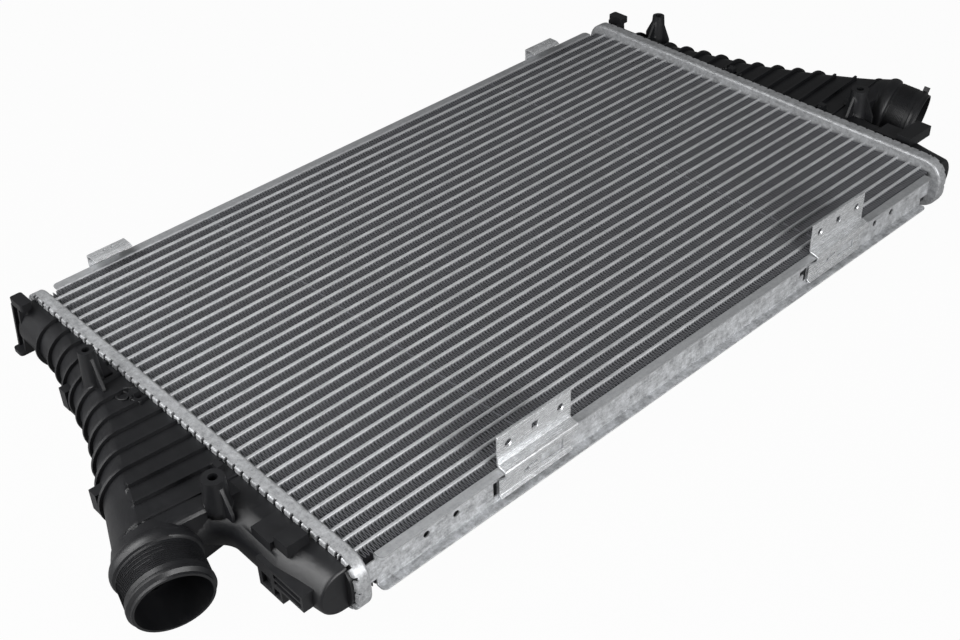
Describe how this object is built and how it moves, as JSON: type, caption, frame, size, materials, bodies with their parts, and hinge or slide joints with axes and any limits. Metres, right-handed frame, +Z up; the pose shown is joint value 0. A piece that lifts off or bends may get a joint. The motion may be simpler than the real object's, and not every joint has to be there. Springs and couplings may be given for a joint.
{
  "type": "intercooler",
  "caption": "Flat charge-air intercooler with a brazed tube and fin core, crimped plastic end tanks with hose stubs, and folded mounting brackets.",
  "frame": {"origin": "under the middle of the core, on the level of the undersides of the two hose stubs", "axes": "+X along the tubes, from the left tank to the right tank; +Y from the front side plate, with the brackets, to the rear one; +Z up through the core's depth"},
  "size_m": [0.9104, 0.427, 0.0853],
  "materials": {
    "tube": "satin",
    "fin": "satin",
    "header": "mottled",
    "plate": "mottled",
    "tank": "satin",
    "gasket": "matte",
    "zinc": "zinc plated"
  },
  "bodies": {
    "root": {"tube_01": "tube", "tube_02": "tube", "tube_03": "tube", "tube_04": "tube", "tube_05": "tube", "tube_06": "tube", "tube_07": "tube", "tube_08": "tube", "tube_09": "tube", "tube_10": "tube", "tube_11": "tube", "tube_12": "tube", "tube_13": "tube", "tube_14": "tube", "tube_15": "tube", "tube_16": "tube", "tube_17": "tube", "tube_18": "tube", "tube_19": "tube", "tube_20": "tube", "tube_21": "tube", "tube_22": "tube", "tube_23": "tube", "tube_24": "tube", "tube_25": "tube", "tube_26": "tube", "tube_27": "tube", "tube_28": "tube", "tube_29": "tube", "tube_30": "tube", "tube_31": "tube", "tube_32": "tube", "tube_33": "tube", "fin_bank_1": "fin", "fin_bank_2": "fin", "fin_bank_3": "fin", "fin_bank_4": "fin", "fin_bank_5": "fin", "fin_bank_6": "fin", "fin_bank_7": "fin", "fin_bank_8": "fin", "fin_bank_9": "fin", "turbulators": "fin", "header_left": "header", "header_right": "header", "gasket_left": "gasket", "gasket_right": "gasket", "tank_left": "tank", "tank_right": "tank", "side_plate_front": "plate", "side_plate_rear": "plate", "bracket_front_left": "zinc", "bracket_front_right": "zinc", "hook_rear_left": "zinc", "hook_rear_right": "zinc"}
  },
  "joints": []
}
